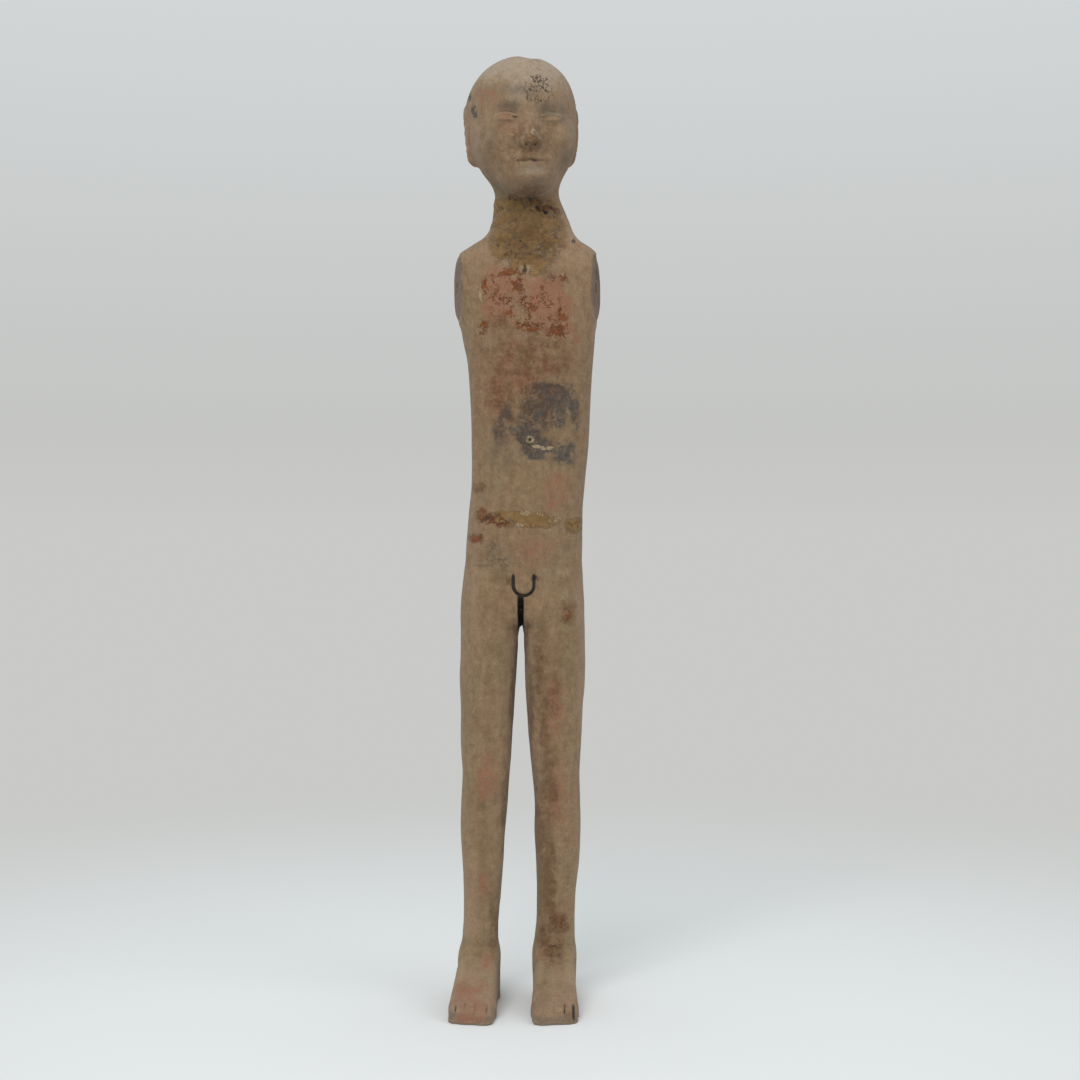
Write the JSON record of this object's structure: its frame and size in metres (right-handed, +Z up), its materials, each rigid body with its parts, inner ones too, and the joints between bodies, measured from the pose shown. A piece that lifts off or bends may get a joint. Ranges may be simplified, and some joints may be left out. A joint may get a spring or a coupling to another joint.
{
  "type": "tomb figure",
  "caption": "Standing naked figure of fired clay without arms, with flat round seats and pin sockets at the shoulders, a close cap of hair, parted legs and bare feet with flat soles.",
  "frame": {"origin": "on the ground, under the middle of the figure's bounding box", "axes": "+Z up from the soles to the crown, -Y the way the figure faces, +X towards the figure's left side"},
  "size_m": [0.0948, 0.0914, 0.5961],
  "materials": {
    "fired_clay": "matt, unglazed, with traces of pink and grey slip and earth"
  },
  "bodies": {
    "root": {"figure": "fired_clay"}
  },
  "joints": []
}
